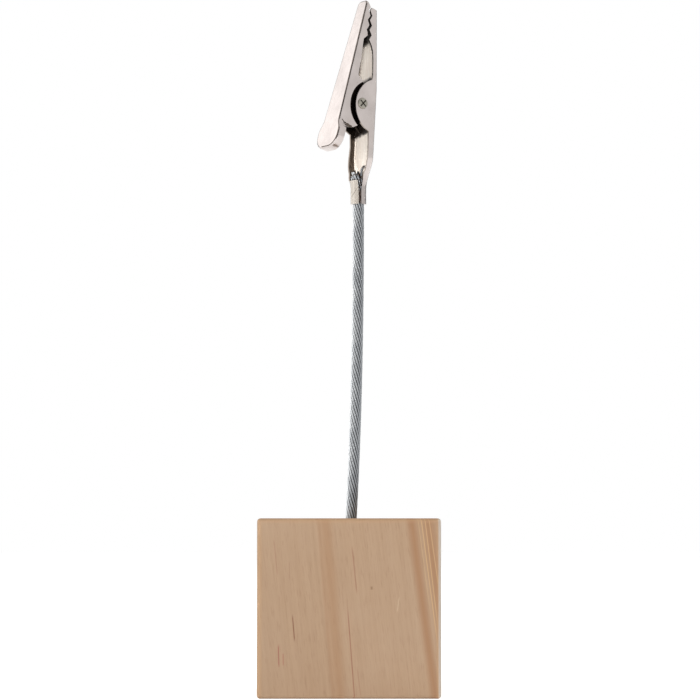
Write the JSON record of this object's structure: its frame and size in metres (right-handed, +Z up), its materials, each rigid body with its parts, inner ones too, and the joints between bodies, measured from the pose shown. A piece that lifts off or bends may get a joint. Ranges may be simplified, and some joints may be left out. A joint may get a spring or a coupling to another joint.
{
  "type": "memo clip holder",
  "caption": "Memo clip holder: a wooden cube base with a steel wire rope stem and a sprung alligator clip at its top.",
  "frame": {"origin": "middle of the block's underside, on the surface that the holder stands on", "axes": "+Z up along the stem, -Y towards the viewer of the picture, +X to the viewer's right"},
  "size_m": [0.04, 0.04, 0.1567],
  "materials": {
    "wood": "sanded bare pine, fine vertical grain",
    "galvanised_rope": "bright galvanised wire",
    "nickel_sheet": "bright nickel plated",
    "nickel_rivet": "nickel plated, staked head",
    "spring_steel": "drawn spring wire"
  },
  "bodies": {
    "stand": {"wood_block": "wood", "wire_rope": "galvanised_rope", "fixed_jaw": "nickel_sheet", "pivot_rivet": "nickel_rivet", "torsion_spring": "spring_steel"},
    "lever": {"moving_jaw": "nickel_sheet"}
  },
  "joints": [
    {"name": "jaw_pivot", "type": "hinge", "parent": "stand", "child": "lever", "pos_m": [0.0009, -0.00081, 0.1325], "axis": [0.5592, -0.829, 0], "range_deg": [0, 30], "stiffness_Nm_per_rad": 0.06, "springref_deg": -68.75, "deforming": ["torsion_spring"]}
  ]
}
